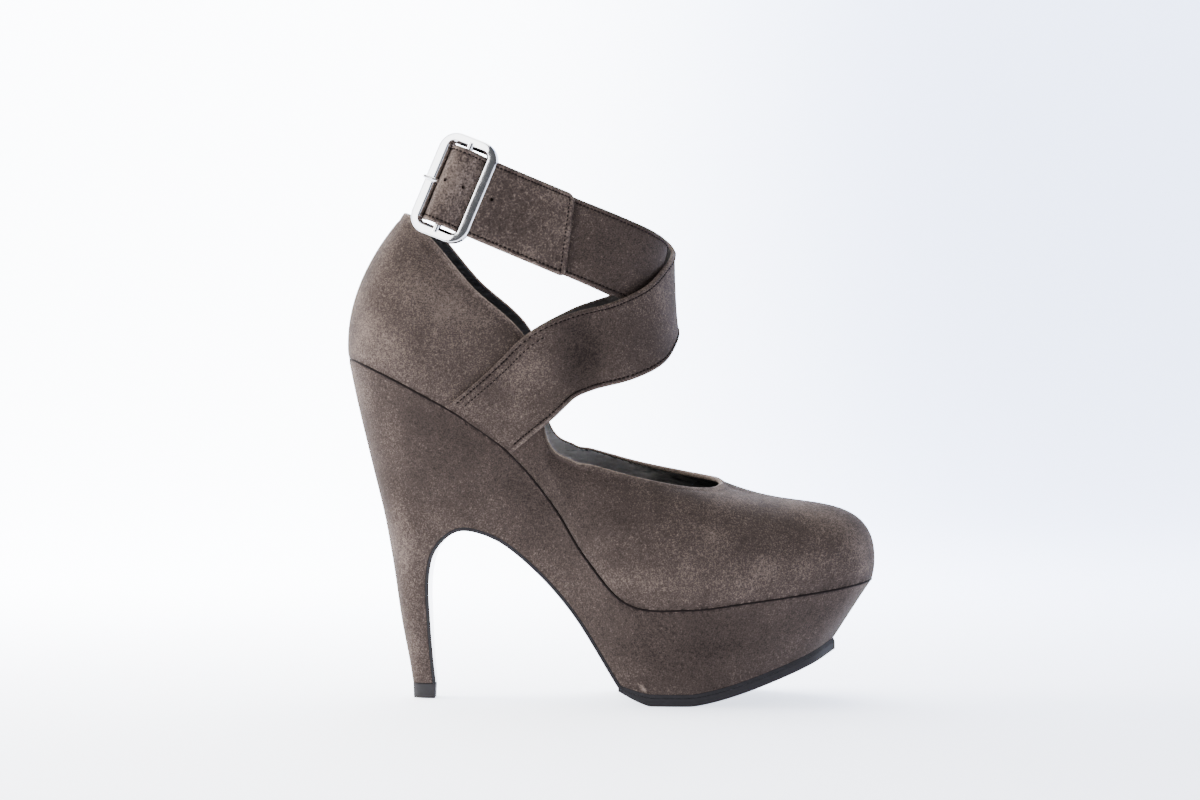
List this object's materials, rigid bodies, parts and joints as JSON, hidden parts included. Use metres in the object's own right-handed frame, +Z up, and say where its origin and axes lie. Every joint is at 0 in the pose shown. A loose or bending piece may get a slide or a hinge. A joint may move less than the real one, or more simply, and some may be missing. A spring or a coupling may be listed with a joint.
{
  "type": "platform pump",
  "caption": "High-heeled platform pump for the right foot, in suede, with wide straps that cross over the instep and buckle round the ankle.",
  "frame": {"origin": "centre of the heel tip's lower face, on the floor", "axes": "+X to the toe, +Y to the inner side of the foot, +Z up"},
  "size_m": [0.2195, 0.0803, 0.2319],
  "materials": {
    "suede": "suede nap, matte",
    "insole_leather": "smooth",
    "sole_leather": "glossy",
    "outsole_rubber": "matte",
    "heel_tip_rubber": "matte",
    "polished_metal": "polished"
  },
  "bodies": {
    "root": {"upper": "suede", "insole": "insole_leather", "heel_platform_unit": "suede", "leather_sole": "sole_leather", "outsole": "outsole_rubber", "heel_tip": "heel_tip_rubber", "strap_lateral": "suede", "strap_medial": "suede", "buckle_frame": "polished_metal", "buckle_prong": "polished_metal"}
  },
  "joints": []
}
